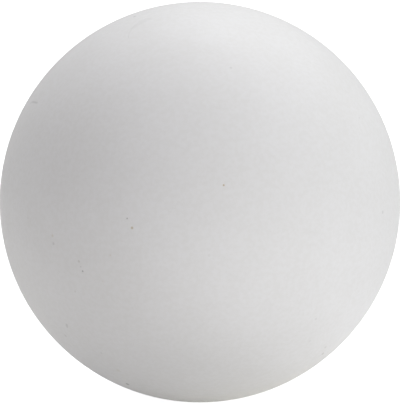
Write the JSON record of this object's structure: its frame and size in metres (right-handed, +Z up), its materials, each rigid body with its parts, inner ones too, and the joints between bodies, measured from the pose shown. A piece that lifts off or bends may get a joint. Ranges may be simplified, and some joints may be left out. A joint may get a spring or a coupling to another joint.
{
  "type": "cue ball",
  "caption": "White pool cue ball: a cast resin shell round a filled core with steel slugs, so that a coin-operated table's ball return can tell it from the others.",
  "frame": {"origin": "centre of the ball", "axes": "+Z straight up from the end of the locating pin, which is at the bottom; X and Y lie midway between neighbouring slugs"},
  "size_m": [0.0572, 0.0572, 0.0572],
  "materials": {
    "shell_resin": "white cast resin, ground and polished, worn to a soft satin with fine specks",
    "core_resin": "grey mineral-filled resin, as moulded",
    "slug_steel": "plain turned steel"
  },
  "bodies": {
    "root": {"outer_shell": "shell_resin", "locating_pin": "shell_resin", "inner_core": "core_resin", "steel_slug_01": "slug_steel", "steel_slug_02": "slug_steel", "steel_slug_03": "slug_steel", "steel_slug_04": "slug_steel", "steel_slug_05": "slug_steel", "steel_slug_06": "slug_steel", "steel_slug_07": "slug_steel", "steel_slug_08": "slug_steel", "steel_slug_09": "slug_steel", "steel_slug_10": "slug_steel", "steel_slug_11": "slug_steel", "steel_slug_12": "slug_steel"}
  },
  "joints": []
}
